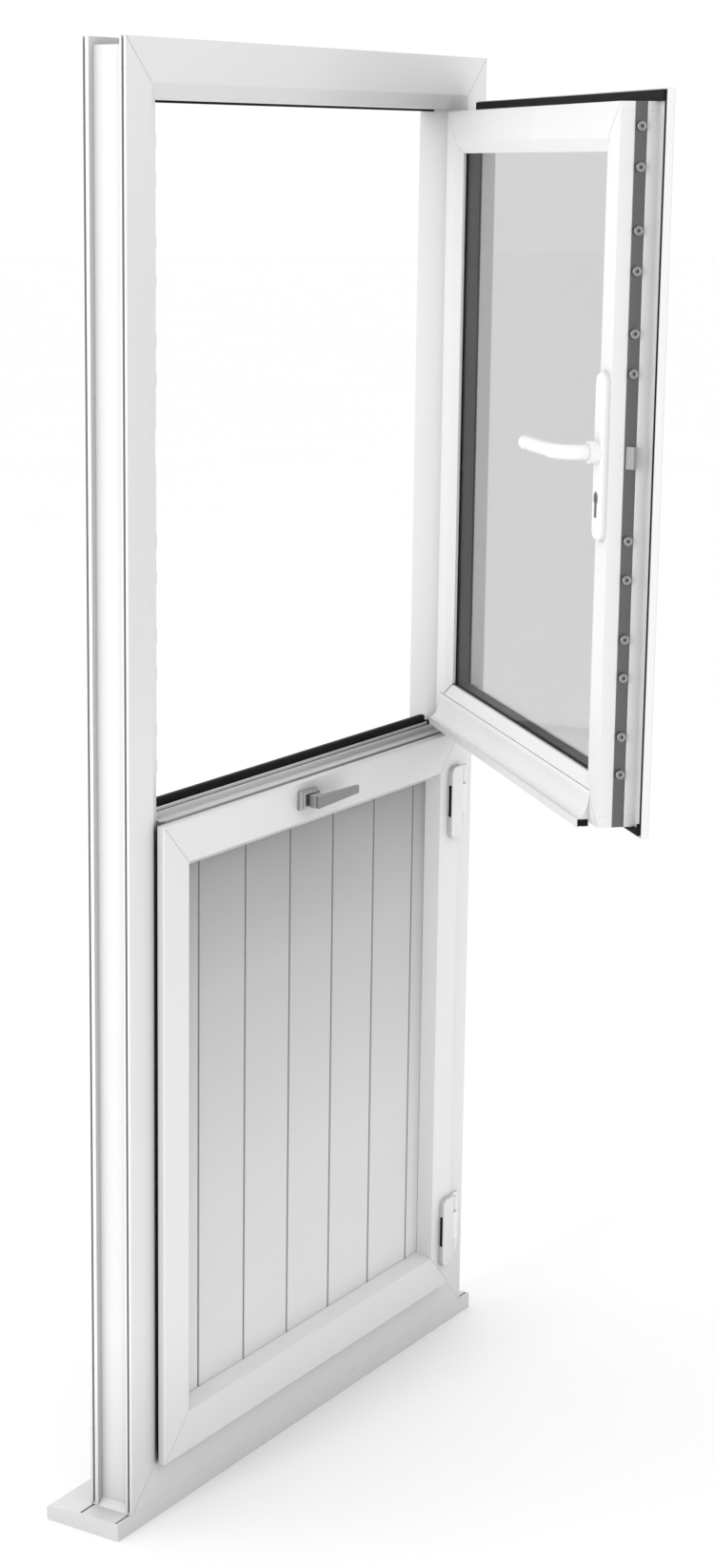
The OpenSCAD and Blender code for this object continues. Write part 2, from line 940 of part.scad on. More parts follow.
// Plate on the lock edge, full height of the leaf body.
module edge_plate() {
  color(grey)
    open_upper()
      difference() {
        box([leaf_x0, edge_y0, up_z0], [leaf_x0 + 3, edge_y1, up_z1]);
        for (i = [0 : pairs_up - 1], j = [0, 1])
          roller_slot(roller_z(1, i, j));
        for (i = [0 : pairs_down - 1], j = [0, 1])
          roller_slot(roller_z(-1, i, j));
        box([leaf_x0 - eps, 11.6, latch_z - 14.4], [leaf_x0 + 4, 23.4, latch_z + 14.4]);
      }
}

// Roller on its stem, with a hexagon socket in its face.
module roller(z) {
  translate([leaf_x0 - roller_out, roller_y, z])
    rotate([0, 90, 0])
      difference() {
        union() {
          cylinder(r1 = roller_r - 0.6, r2 = roller_r, h = 0.6);
          translate([0, 0, 0.6])
            cylinder(r = roller_r, h = roller_out - 1);
          cylinder(r = 2.6, h = roller_out + 4);
        }
        translate([0, 0, -eps])
          cylinder(r = 2.4, h = 2.5, $fn = 6);
      }
}

// Flat rod behind the edge plate, from height a to height b.
module rod(a, b) {
  box([leaf_x0 + 3.4, 13, a], [leaf_x0 + 6.9, 23, b]);
}

module rod_top() {
  color(silver)
    open_upper()
      union() {
        rod(case_z1 + rod_travel + 1, roller_z(1, pairs_up - 1, 1) + 4);
        for (i = [0 : pairs_up - 1], j = [0, 1])
          roller(roller_z(1, i, j));
      }
}

module rod_bottom() {
  color(silver)
    open_upper()
      union() {
        rod(roller_z(-1, pairs_down - 1, 1) - 4, case_z0 - rod_travel - 1);
        for (i = [0 : pairs_down - 1], j = [0, 1])
          roller(roller_z(-1, i, j));
      }
}

// Sprung latch, sloped on the side that meets the keep first.
module latch() {
  color(silver)
    open_upper()
      translate([leaf_x0, 0, latch_z - 14])
        linear_extrude(height = 28)
          polygon([[-latch_out, 12], [-latch_out, 16], [0, 23], [7.4, 23], [7.4, 12]]);
}

// Lock case in the stile, bored for spindle and key cylinder.
module lock_case() {
  color(steel)
    open_upper()
      difference() {
        box([leaf_x0 + 3, 10.5, case_z0], [leaf_x0 + solid_w - 0.5, 25.5, case_z1]);
        box([leaf_x0, 11.6, latch_z - 14.4], [leaf_x0 + 15.2, 23.4, latch_z + 14.4]);
        bar_y(handle_x, lever_z, 5.72, 0, 40);
        slab_y(0, 40)
          key_outline(0);
      }
}

// Long plate with rounded ends and a sloped rim, standing on the leaf's outside.
module handle_plate(lever) {
  r = plate_w / 2;
  c = 3;
  a = plate_h / 2 - r;
  difference() {
    union() {
      for (s = [-1, 1]) {
        bar_y(handle_x, latch_z + s * a, r, leaf_back, leaf_back + plate_t - c);
        translate([handle_x, leaf_back + plate_t - c, latch_z + s * a])
          rotate([-90, 0, 0])
            cylinder(r1 = r, r2 = r - c, h = c);
      }
      translate([handle_x, leaf_back, latch_z - a])
        linear_extrude(height = 2 * a)
          polygon([[-r, 0], [r, 0], [r, plate_t - c], [r - c, plate_t], [c - r, plate_t], [-r, plate_t - c]]);
      if (lever)
        bar_y(handle_x, lever_z, 14.5, leaf_back, leaf_back + plate_t + 12);
    }
    if (lever)
      bar_y(handle_x, lever_z, 9.8 + bore_fit, leaf_back - eps, leaf_back + plate_t + 13);
    else
      bar_y(handle_x, lever_z, 6.5, leaf_back - eps, leaf_back + plate_t - 2.5);
    slab_y(leaf_back - eps, leaf_back + plate_t + eps)
      key_outline(0);
  }
}

// Mirrors something from the outside face of the leaf to its room face.
module to_room() {
  translate([0, leaf_back + flange_front, 0])
    mirror([0, 1, 0])
      children();
}

module plate_outside() {
  color(silver)
    open_upper()
      handle_plate(true);
}

module plate_inside() {
  color(silver)
    open_upper()
      to_room()
        handle_plate(false);
}

// Lever with a round neck and a grip running towards the hinge side.
module lever_shape() {
  y = leaf_back + lever_off;
  bar_y(handle_x, lever_z, 9.8, leaf_back + 1, y);
  translate([handle_x, y, lever_z])
    sphere(r = 9.8);
  translate([handle_x, y, lever_z])
    rotate([0, 90, 0])
      cylinder(r = grip_r, h = lever_len - grip_r);
  translate([handle_x + lever_len - grip_r, y, lever_z])
    sphere(r = grip_r);
}

// Square spindle of the upper lever.
module spindle(c, y0, y1) {
  box([handle_x - 4 - c, y0, lever_z - 4 - c], [handle_x + 4 + c, y1, lever_z + 4 + c]);
}

module lever_outside() {
  color(silver)
    open_upper()
      union() {
        lever_shape();
        spindle(0, flange_front - plate_t + 3.5, leaf_back + 2);
      }
}

module key_cylinder() {
  color(grey)
    open_upper()
      difference() {
        slab_y(flange_front - plate_t, leaf_back + plate_t)
          key_outline(0);
        for (y = [flange_front - plate_t - eps, leaf_back + plate_t - 6])
          box([handle_x - 1.2, y, key_z - 4.5], [handle_x + 1.2, y + 6 + eps, key_z + 4.5]);
      }
}

frame_head();
frame_jamb_lock();
frame_jamb_hinge();
frame_threshold();
frame_seal();
frame_steel_lock();
frame_steel_hinge();
cill();
cill_cap_lock();
cill_cap_hinge();
upper_keep();
lower_keep();
upper_hinge_frame_top();
upper_hinge_frame_bottom();
lower_hinge_frame_top();
lower_hinge_frame_bottom();
lower_rail_top();
lower_rail_bottom();
lower_stile_lock();
lower_stile_hinge();
lower_bead();
lower_panel();
lower_gasket();
meeting_strip();
meeting_gasket();
catch_rose();
catch_lever();
catch_bolt();
lower_hinge_leaf_top();
lower_hinge_leaf_bottom();
lower_cover_top();
lower_cover_bottom();
upper_rail_top();
upper_rail_bottom();
upper_stile_lock();
upper_stile_hinge();
upper_bead();
pane_inner();
pane_outer();
pane_spacer();
glazing_gasket();
upper_gasket();
rain_deflector();
edge_plate();
rod_top();
rod_bottom();
latch();
lock_case();
plate_outside();
plate_inside();
lever_outside();
key_cylinder();
upper_hinge_leaf_top();
upper_hinge_leaf_bottom();
upper_cover_top();
upper_cover_bottom();
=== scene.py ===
import json
import math

import bmesh
import bpy
from mathutils import Matrix, Vector


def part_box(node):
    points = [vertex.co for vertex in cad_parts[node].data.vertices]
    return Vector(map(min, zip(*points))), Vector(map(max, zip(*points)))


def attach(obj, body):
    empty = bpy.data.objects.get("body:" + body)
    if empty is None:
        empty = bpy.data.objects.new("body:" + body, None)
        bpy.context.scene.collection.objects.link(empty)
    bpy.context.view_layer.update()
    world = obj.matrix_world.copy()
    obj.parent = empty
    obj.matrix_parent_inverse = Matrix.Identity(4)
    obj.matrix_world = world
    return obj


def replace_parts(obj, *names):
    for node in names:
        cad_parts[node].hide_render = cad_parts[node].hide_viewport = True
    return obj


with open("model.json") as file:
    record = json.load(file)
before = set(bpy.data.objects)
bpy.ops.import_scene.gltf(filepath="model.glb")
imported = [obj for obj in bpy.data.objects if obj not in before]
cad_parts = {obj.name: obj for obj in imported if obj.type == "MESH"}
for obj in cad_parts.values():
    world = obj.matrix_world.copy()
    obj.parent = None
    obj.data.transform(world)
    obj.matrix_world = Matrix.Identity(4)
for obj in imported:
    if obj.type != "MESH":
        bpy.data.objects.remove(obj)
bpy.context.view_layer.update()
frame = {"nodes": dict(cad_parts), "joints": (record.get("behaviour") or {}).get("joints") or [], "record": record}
cadNodes = frame["nodes"]
joints = {entry["name"]: entry for entry in frame["joints"]}
mm = 0.001
print("stage: frame loaded")


# a socket of a material's tree, so that maths on it reads as plain maths
class Wire:
    def __init__(self, finish, socket):
        self.finish = finish
        self.socket = socket

    def maths(self, operation, first, second):
        return self.finish.node("ShaderNodeMath", {"operation": operation}, {0: first, 1: second})

    def __add__(self, other):
        return self.maths("ADD", self, other)

    def __radd__(self, other):
        return self.maths("ADD", other, self)

    def __sub__(self, other):
        return self.maths("SUBTRACT", self, other)

    def __rsub__(self, other):
        return self.maths("SUBTRACT", other, self)

    def __mul__(self, other):
        return self.maths("MULTIPLY", self, other)

    def __rmul__(self, other):
        return self.maths("MULTIPLY", other, self)


# one material while it is being put together
class Finish:
    def __init__(self, name):
        self.material = bpy.data.materials.new(name)
        self.material.use_nodes = True
        self.tree = self.material.node_tree
        self.tree.nodes.clear()

    def node(self, kind, settings=None, sockets=None, out=0):
        made = self.tree.nodes.new(kind)
        for key, value in (settings or {}).items():
            if key == "stops":
                ramp = made.color_ramp.elements
                while len(ramp) < len(value):
                    ramp.new(0.5)
                for stop, (place, shade) in zip(ramp, value):
                    stop.position = place
                    stop.color = (shade, shade, shade, 1)
            else:
                setattr(made, key, value)
        for key, value in (sockets or {}).items():
            if isinstance(value, Wire):
                self.tree.links.new(value.socket, made.inputs[key])
            else:
                made.inputs[key].default_value = value
        return Wire(self, made.outputs[out]) if made.outputs else None

    def noise(self, scale, detail=3.0, stretch=(1, 1, 1)):
        place = self.node("ShaderNodeTexCoord", out="Object")
        where = self.node("ShaderNodeMapping", None, {"Vector": place, "Scale": stretch})
        return self.node("ShaderNodeTexNoise", None,
                         {"Vector": where, "Scale": scale, "Detail": detail})

    def ramp(self, value, stops):
        return self.node("ShaderNodeValToRGB", {"stops": stops}, {0: value})

    def blend(self, factor, first, second):
        first, second = ((*c, 1) if isinstance(c, tuple) else c for c in (first, second))
        return self.node("ShaderNodeMix", {"data_type": "RGBA"},
                         {0: factor, 6: first, 7: second}, out=2)

    # the normal with sharp edges rounded, and a mask that grows towards an edge, used to paint edge highlights
    def edge(self, width, gain=5.0):
        soft = self.node("ShaderNodeBevel", {"samples": 4}, {"Radius": width})
        plain = self.node("ShaderNodeNewGeometry", out="Normal")
        same = self.node("ShaderNodeVectorMath", {"operation": "DOT_PRODUCT"},
                         {0: soft, 1: plain}, out="Value")
        near = self.node("ShaderNodeMath", {"operation": "MULTIPLY", "use_clamp": True},
                         {0: 1 - same, 1: gain})
        return soft, near

    def bump(self, height, depth, normal):
        return self.node("ShaderNodeBump", None, {"Strength": 1.0, "Distance": depth,
                                                  "Height": height, "Normal": normal})

    def close(self, shader):
        self.node("ShaderNodeOutputMaterial", None, {"Surface": shader})
        return self.material

    def done(self, sockets):
        return self.close(self.node("ShaderNodeBsdfPrincipled", None, sockets))


# size and strength of what varies over each family of finish
plasticTexture = {"cloud": 4.0, "ripple": 420.0, "smudge": 22.0, "smudgeSwing": 0.1,
                  "dull": 0.97, "edgeHighlightLift": 1.25}
metalTexture = {"line": 900.0, "cloud": 40.0, "lineSwing": 0.08, "cloudSwing": 0.06,
                "dull": 0.86, "edgeHighlightLift": 2.6}
rubberTexture = {"speck": 1500.0, "bloom": 30.0, "bloomSwing": 0.16, "roughness": 0.55,
                 "edge": 0.0005, "depth": 0.00002}
glassTexture = {"tint": (0.886, 0.888, 0.888, 1), "film": 6.0, "filmShine": 0.03,
                "mirror": 0.22, "roughness": 0.02}


# moulded plastic: faint ripple and smudges, painted shade in corners and recesses, and a painted highlight that
# makes edges a little lighter
def plastic(name, colour, roughness, edgeWidth=0.0012, ripple=0.00002, corner=0.6, reach=0.3,
            paintedShade=None):
    made = Finish(name)
    soft, near = made.edge(edgeWidth)
    cloud = made.noise(plasticTexture["cloud"], 4.0)
    fine = made.noise(plasticTexture["ripple"], 2.0, (1, 1, 0.35))
    smudge = made.noise(plasticTexture["smudge"], 6.0)
    dull = tuple(c * plasticTexture["dull"] for c in colour)
    edgeHighlightTone = tuple(min(1.0, c * plasticTexture["edgeHighlightLift"]) for c in colour)
    base = made.blend(cloud, colour, dull)
    # painted shade: the colour is darkened towards the top of the piece
    if paintedShade:  # darkens from the foot of a piece to its top
        place = made.node("ShaderNodeTexCoord", out="Generated")
        height = made.node("ShaderNodeSeparateXYZ", None, {0: place}, out="Z")
        base = made.blend(made.ramp(height, paintedShade), (0, 0, 0), base)
    # painted highlight: edges lighter than the rest of the face
    base = made.blend(near, base, edgeHighlightTone)
    # painted shade: colour darkened in corners and recesses by an ambient occlusion mask
    if corner:
        clear = made.node("ShaderNodeAmbientOcclusion", {"samples": 6}, {"Distance": reach},
                          out="AO")
        base = made.blend(clear * corner + (1 - corner), (0, 0, 0), base)
    swing = plasticTexture["smudgeSwing"]
    return made.done({"Base Color": base, "Roughness": roughness - swing / 2 + swing * smudge,
                      "Normal": made.bump(fine, ripple, soft), "IOR": 1.5})


# metal with fine drawn lines along one axis and lighter edges (painted highlight)
def metal(name, colour, roughness, stretch=(1, 1, 0.04), edgeWidth=0.0006, line=0.00001):
    made = Finish(name)
    soft, near = made.edge(edgeWidth)
    grain = made.noise(metalTexture["line"], 3.0, stretch)
    cloud = made.noise(metalTexture["cloud"], 5.0)
    dull = tuple(c * metalTexture["dull"] for c in colour)
    edgeHighlightTone = tuple(min(1.0, c * metalTexture["edgeHighlightLift"]) for c in colour)
    # painted highlight: edges lighter than the rest of the face
    base = made.blend(near, made.blend(cloud, dull, colour), edgeHighlightTone)
    lineSwing, cloudSwing = metalTexture["lineSwing"], metalTexture["cloudSwing"]
    rough = roughness - 0.06 + lineSwing * grain + cloudSwing * cloud
    return made.done({"Base Color": base, "Metallic": 1.0, "Roughness": rough,
                      "Normal": made.bump(grain, line, soft)})


# soft black seal with a faint pale bloom, and edges a little paler (painted highlight)
def rubber(name, colour):
    made = Finish(name)
    soft, near = made.edge(rubberTexture["edge"])
    speck = made.noise(rubberTexture["speck"], 2.0)
    bloom = made.noise(rubberTexture["bloom"], 5.0)
    pale = tuple(c * 1.8 + 0.004 for c in colour)
    # the bloom is patchy; the paler edges are painted highlight
    base = made.blend(0.5 * bloom + 0.3 * near, colour, pale)
    return made.done({"Base Color": base, "Specular IOR Level": 0.12,
                      "Roughness": rubberTexture["roughness"] + rubberTexture["bloomSwing"] * bloom,
                      "Normal": made.bump(speck, rubberTexture["depth"], soft)})


# clear pane that mirrors a little on its outer faces only, with a faint film
def clearGlass(name):
    made = Finish(name)
    film = made.noise(glassTexture["film"], 4.0)
    through = made.node("ShaderNodeBsdfTransparent", None, {"Color": glassTexture["tint"]})
    shine = made.node("ShaderNodeBsdfGlossy", None,
                      {"Color": (1, 1, 1, 1), "Roughness": glassTexture["roughness"]})
    facing = made.node("ShaderNodeFresnel", None, {"IOR": 1.45})
    behind = made.node("ShaderNodeNewGeometry", out="Backfacing")
    amount = (1 - behind) * (facing * glassTexture["mirror"] + glassTexture["filmShine"] * film)
    return made.close(made.node("ShaderNodeMixShader", None, {0: amount, 1: through, 2: shine}))


tones = {"profile": (0.80, 0.80, 0.795), "board": (0.78, 0.78, 0.775), "seam": (0.46, 0.46, 0.455),
         "seal": (0.005, 0.005, 0.0055), "silver": (0.27, 0.27, 0.274),
         # painted light: a lighter copy of the satin silver for faces that catch the light
         "paintedLitSilver": (0.46, 0.46, 0.465), "plate": (0.165, 0.167, 0.17),
         "steel": (0.31, 0.314, 0.32), "spacer": (0.09, 0.092, 0.095), "key": (0.16, 0.16, 0.165),
         "coating": (0.84, 0.84, 0.835), "jointShade": (0.2, 0.2, 0.2), "dark": (0.05, 0.05, 0.052)}
# painted shade on the boards, darker towards their top
boardPaintedShade = ((0, 0.93), (0.35, 0.85), (0.75, 0.66), (1, 0.43))  # (height, how much light is kept)
alongX = (0.04, 1, 1)
finishes = {
    "profile": plastic("whiteProfile", tones["profile"], 0.34),
    "board": plastic("whiteBoard", tones["board"], 0.42, corner=0.75, reach=0.2, paintedShade=boardPaintedShade),
    "seam": plastic("weldSeam", tones["seam"], 0.5, corner=0),
    "seal": rubber("blackSeal", tones["seal"]),
    "lock_steel": metal("platedSteel", tones["steel"], 0.36),
    "core_steel": metal("tubeSteel", tones["steel"], 0.45),
    "handle_metal": metal("satinSilver", tones["silver"], 0.34, stretch=alongX),
    "paintedLitSilver": metal("paintedLitSilver", tones["paintedLitSilver"], 0.36, stretch=alongX),
    "edge_metal": metal("edgePlateGrey", tones["plate"], 0.42),
    "key_metal": metal("cylinderNickel", tones["key"], 0.34),
    "spacer": metal("spacerBar", tones["spacer"], 0.5),
    "handle_white": plastic("whiteCoating", tones["coating"], 0.28, edgeWidth=0.0004,
                            ripple=0.000012, corner=0.3, reach=0.03),
    "jointShade": plastic("jointShade", tones["jointShade"], 0.6, corner=0),
    # painted shade: near black for pieces that stand in for shadowed gaps and sockets
    "dark": plastic("paintedShadowFill", tones["dark"], 0.6, corner=0),
    "pane": clearGlass("clearPane"),
}
coatedWords = ("hinge_leaf", "hinge_frame", "keep")  # plates that are coated white where they show
for entry in frame["record"]["subparts"]:
    slots = cadNodes[entry["node"]].data.materials
    slots.clear()
    coated = any(word in entry["node"] for word in coatedWords)
    slots.append(finishes["handle_white" if coated else entry["material_slot"]])
print("stage: materials")


# places are in millimetres from the frame's lower lock side corner on the room face, and the
# upper leaf's pieces are drawn closed, then turned open
corner = Vector(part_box("frame_jamb_lock")[0])
hingeLine = Vector(joints["upper_leaf_hinge"]["pos_m"])
openAngle = math.radians(-joints["upper_leaf_hinge"]["range_deg"][0])
openTurn = (Matrix.Translation(hingeLine) @ Matrix.Rotation(openAngle, 4, "Z")
            @ Matrix.Translation(-hingeLine))
turnedBodies = ("upper_leaf", "upper_lever", "rod_top", "rod_bottom", "latch")
toLock = Vector((-1, 0, 0))
up = Vector((0, 0, 1))
sharpAngle = math.radians(38)


def makePiece(name, body, slot, verts, faces, smooth=True, finish=None):
    turn = openTurn if body in turnedBodies else Matrix.Identity(4)
    mesh = bpy.data.meshes.new(name)
    mesh.from_pydata([turn @ (corner + Vector(v) * mm) for v in verts], [], faces)
    work = bmesh.new()
    work.from_mesh(mesh)
    bmesh.ops.recalc_face_normals(work, faces=work.faces)
    work.to_mesh(mesh)
    work.free()
    made = bpy.data.objects.new(name, mesh)
    bpy.context.scene.collection.objects.link(made)
    mesh.materials.append(finishes[finish or slot])
    if smooth:
        mesh.shade_smooth()
        mesh.set_sharp_from_angle(angle=sharpAngle)
    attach(made, body)
    return made


# a closed skin through loops that all have the same number of points
def loft(loops):
    count = len(loops[0])
    last = (len(loops) - 1) * count
    verts = [point for loop in loops for point in loop]
    faces = []
    for start in range(0, last, count):
        for i in range(count):
            j = (i + 1) % count
            faces.append((start + i, start + j, start + count + j, start + count + i))
    faces += [tuple(range(count))[::-1], tuple(last + i for i in range(count))]
    return verts, faces


def merge(parts):
    verts, faces = [], []
    for partVerts, partFaces in parts:
        faces += [tuple(i + len(verts) for i in face) for face in partFaces]
        verts += partVerts
    return verts, faces


# bar with one outline in y and z, from one x to another
def alongWidth(outline, ends):
    return loft([[Vector((x, y, z)) for y, z in outline] for x in ends])


# bar with one outline in x and y, from one z to another
def alongHeight(outline, ends):
    return loft([[Vector((x, y, z)) for x, y in outline] for z in ends])


# angles of a full turn, in equal steps
def circle(count):
    return [2 * math.pi * i / count for i in range(count)]


# two directions square to an axis
def across(axis):
    side = axis.cross(up)
    side = side.normalized() if side.length > 0.1 else Vector((1, 0, 0))
    return side, axis.cross(side).normalized()


# turned shape: profile of (radius, height) along an axis
def turned(centre, axis, profile, count=28):
    first, second = across(axis)
    loops = [[Vector(centre) + axis * height
              + (first * math.cos(t) + second * math.sin(t)) * radius for t in circle(count)]
             for radius, height in profile]
    return loft(loops)


# direction of a run of points at one of them
def heading(points, i):
    return (points[min(i + 1, len(points) - 1)] - points[max(i - 1, 0)]).normalized()


# round bar that follows level points, with its own radius at each
def swept(points, radii, count):
    loops = []
    for i, (point, radius) in enumerate(zip(points, radii)):
        side = heading(points, i).cross(up).normalized()
        loops.append([point + side * math.cos(t) * radius + up * math.sin(t) * radius
                      for t in circle(count)])
    return loft(loops)


# thin raised weld seams across the corners of the frame and of each leaf
seams = {"width": 1.1, "height": 0.07, "sink": 0.4}
headLow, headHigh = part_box("frame_head")
frameW, frameH = (headHigh[0] - headLow[0]) / mm, (headHigh[2] - corner.z) / mm


# raised line along a run of surface points, each with its surface normal
def ridge(points, normals):
    loops = []
    for i, (point, normal) in enumerate(zip(points, normals)):
        side = heading(points, i).cross(normal).normalized() * seams["width"] / 2
        sunk = normal * seams["sink"]
        loops.append([point - side - sunk, point - side, point + normal * seams["height"],
                      point + side, point + side - sunk])
    return loft(loops)


# section: (distance in from the corner, depth, (lean inwards, way it faces))
def cornerSeams(name, body, rect, section):
    x0, z0, x1, z1 = rect
    parts = []
    for signX in (1, -1):
        for signZ in (1, -1):
            points, normals = [], []
            for inward, y, (lean, face) in section:
                points.append(Vector((x0 + inward if signX > 0 else x1 - inward, y,
                                      z0 + inward if signZ > 0 else z1 - inward)))
                normals.append(Vector((lean * signX * 0.7, face, lean * signZ * 0.7)).normalized())
            parts.append(ridge(points, normals))
    makePiece(name, body, "profile", *merge(parts), smooth=False, finish="seam")


frameRect, lowRect = (0, 0, frameW, frameH), (57, 56, 859, 966)
upRect, upBackRect = (57, 980, 859, 1911), (83, 991, 845, 1896)
room, roomSlope, beadSlope = (0, -1), (0.42, -0.9), (0.8, -0.6)
back, backSlope = (0, 1), (0.42, 0.9)
leafFace = [(1.8, -15.5, room), (58.6, -15.5, room)]
beadFace = [(59.6, -15.0, beadSlope), (70.4, 3.6, beadSlope)]
seamRuns = {
    "frameSeams": ("frame", frameRect, [(0.5, 0, room), (54.5, 0, room), (55.5, 0.3, roomSlope),
                                        (74.5, 9.2, roomSlope)]),
    "lowerSeams": ("lower_leaf", lowRect, leafFace),
    "lowerBeadSeams": ("lower_leaf", lowRect, beadFace),
    "upperSeams": ("upper_leaf", upRect, leafFace),
    "upperOutsideSeams": ("upper_leaf", upBackRect, [(0.5, 45, back), (42.6, 45, back),
                                                     (43.4, 44.7, backSlope),
                                                     (59.4, 37.2, backSlope)]),
    "frameOutsideSeams": ("frame", frameRect, [(0.5, 70, back), (74.4, 70, back)]),
    "upperBeadSeams": ("upper_leaf", upRect, beadFace),
}
for name, run in seamRuns.items():
    cornerSeams(name, *run)
print("stage: weld seams")


# dark strips at the bottom of the grooves between the boards: painted shade of the narrow gaps where the boards
# meet
boardGrooveShade = {"first": 170, "pitch": 116.5, "count": 6, "half": 0.8, "front": 5.5, "back": 6.8,
              "ends": (118, 904)}
lines = []
for i in range(boardGrooveShade["count"]):
    x = boardGrooveShade["first"] + boardGrooveShade["pitch"] * i
    left, right = x - boardGrooveShade["half"], x + boardGrooveShade["half"]
    lines.append(alongHeight([(left, boardGrooveShade["front"]), (right, boardGrooveShade["front"]),
                              (right, boardGrooveShade["back"]), (left, boardGrooveShade["back"])],
                             boardGrooveShade["ends"]))
makePiece("boardGrooveShadeStrips", "lower_leaf", "board", *merge(lines), smooth=False, finish="jointShade")
print("stage: board joints")


# outline with its corners rounded
def rounded(points, radius, steps=4):
    made = []
    for i, point in enumerate(points):
        point = Vector(point)
        before = (Vector(points[i - 1]) - point).normalized() * radius
        after = (Vector(points[(i + 1) % len(points)]) - point).normalized() * radius
        for k in range(steps + 1):
            t = k / steps
            made.append(point + before * (1 - t) ** 2 + after * t ** 2)
    return made


# plate with an outline in x and z, built through levels of (depth, inset)
def slab(points, levels):
    middle = sum((Vector(p) for p in points), Vector((0, 0))) / len(points)
    reach = max((Vector(p) - middle).length for p in points)
    loops = []
    for y, inset in levels:
        shrink = 1 - inset / reach
        loops.append([Vector(((p[0] - middle.x) * shrink + middle.x, y,
                              (p[1] - middle.y) * shrink + middle.y)) for p in points])
    return loft(loops)


# lower catch: stepped rose, lever arm, the arm's root block and a near black block behind that, painted shade for
# the gap between rose and arm
# each: (left, right, half height at the left, at the right) about the spindle, corner radius,
# and levels of (depth, inset)
catch = {"x": 410, "z": 940,
         "base": ((-23, 23, 13.5, 13.5), 1.4, [(-15.5, 0), (-21, 0), (-22, 1.2)]),
         "top": ((-20, 20, 10.8, 10.8), 1.2, [(-21.5, 0), (-25.7, 0), (-26.5, 1)]),
         "arm": ((-13, 97, 9.2, 5.8), 0.9, [(-40.3, 1), (-41.1, 0), (-45, 0), (-45.9, 1.1)]),
         "root": ((-13, 7, 9.2, 9.2), 0.9, [(-29.9, 0.8), (-30.7, 0), (-41.8, 0)]),
         "neck": ((-11, 9, 8, 8), 1.6, [(-25.5, 0), (-30.4, 0)])}


def catchPart(key):
    (left, right, leftHalf, rightHalf), radius, levels = catch[key]
    x, z = catch["x"], catch["z"]
    outline = [(x + left, z - leftHalf), (x + right, z - rightHalf),
               (x + right, z + rightHalf), (x + left, z + leftHalf)]
    return slab(rounded(outline, radius), levels)


# painted light: the rose takes the lighter copy of the satin silver
rose = merge([catchPart("base"), catchPart("top")])
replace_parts(makePiece("catchRoseSteps", "lower_leaf", "handle_metal", *rose, finish="paintedLitSilver"),
            "catch_rose")
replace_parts(makePiece("catchLeverArm", "catch_lever", "handle_metal", *catchPart("arm")),
            "catch_lever")
# painted light: the lever's root block takes the lighter copy of the satin silver
makePiece("catchLeverRoot", "catch_lever", "handle_metal", *catchPart("root"),
          finish="paintedLitSilver")
# painted shade: the neck is near black to stand for the shadowed gap
makePiece("catchNeck", "catch_lever", "handle_metal", *catchPart("neck"), finish="dark")
print("stage: lower catch")


# upper lever: neck, bend and grip as one smooth bar
grip = {"x": 104, "z": 1469.5, "neckY": (50, 60), "gripY": 103, "bend": 27, "tip": 254,
        "neckR": 9.8, "gripR": 9.5, "along": (145, 165, 185, 205, 225, 238), "sides": 32,
        "bendSteps": 10, "tipSteps": 16, "tipStep": 5.4}
path = [Vector((grip["x"], y, grip["z"])) for y in (*grip["neckY"], grip["gripY"] - grip["bend"])]
radii = [grip["neckR"]] * len(path)
for k in range(1, grip["bendSteps"] + 1):
    t = math.radians(90 / grip["bendSteps"] * k)
    path.append(Vector((grip["x"] + grip["bend"] * (1 - math.cos(t)),
                        grip["gripY"] - grip["bend"] * (1 - math.sin(t)), grip["z"])))
    radii.append(grip["neckR"])
for x in grip["along"]:
    path.append(Vector((x, grip["gripY"], grip["z"])))
    radii.append(grip["gripR"])
for k in range(grip["tipSteps"] + 1):
    t = math.radians(grip["tipStep"] * k)
    path.append(Vector((grip["tip"] - grip["gripR"] * (1 - math.sin(t)), grip["gripY"], grip["z"])))
    radii.append(grip["gripR"] * math.cos(t))
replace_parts(makePiece("leverOutsideSmooth", "upper_lever", "handle_white",
                      *swept(path, radii, grip["sides"])), "lever_outside")
print("stage: upper lever")


# soft fin along the top of the lower leaf, and the white trim in front of it
fin = {"ends": (85, 832), "foot": 977.5, "top": 988.5, "front": 33, "back": 43}
finOutline = [(fin["front"], fin["foot"]), (fin["back"], fin["foot"]),
              (fin["back"], fin["top"] - 2), (fin["back"] - 2, fin["top"]),
              (fin["front"] + 1.5, fin["top"]), (fin["front"], fin["top"] - 1.5)]
makePiece("meetingFin", "lower_leaf", "seal", *alongWidth(finOutline, fin["ends"]), smooth=False)
trim = {"foot": 973.6, "top": 978.7, "front": 28.4, "back": 29.7, "ease": 0.5}
trimOutline = [(trim["front"], trim["foot"]), (trim["back"], trim["foot"]),
               (trim["back"], trim["top"] - trim["ease"]),
               (trim["back"] - trim["ease"], trim["top"]),
               (trim["front"], trim["top"] - trim["ease"])]
makePiece("meetingTrim", "lower_leaf", "profile", *alongWidth(trimOutline, fin["ends"]),
          smooth=False)
print("stage: meeting fin")


# edge of the upper leaf: faceplate with eased edges
edge = {"out": 83, "thick": 3, "front": 10, "back": 26, "ease": 0.4}
inner, eased = edge["out"] + edge["thick"], edge["out"] + edge["ease"]
plateOutline = [(eased, edge["front"]), (edge["out"], edge["front"] + edge["ease"]),
                (edge["out"], edge["back"] - edge["ease"]), (eased, edge["back"]),
                (inner, edge["back"]), (inner, edge["front"])]
plateEnds = [(v[2] - corner.z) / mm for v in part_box("edge_plate")]
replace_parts(makePiece("edgePlateFace", "upper_leaf", "edge_metal",
                      *alongHeight(plateOutline, plateEnds), smooth=False), "edge_plate")

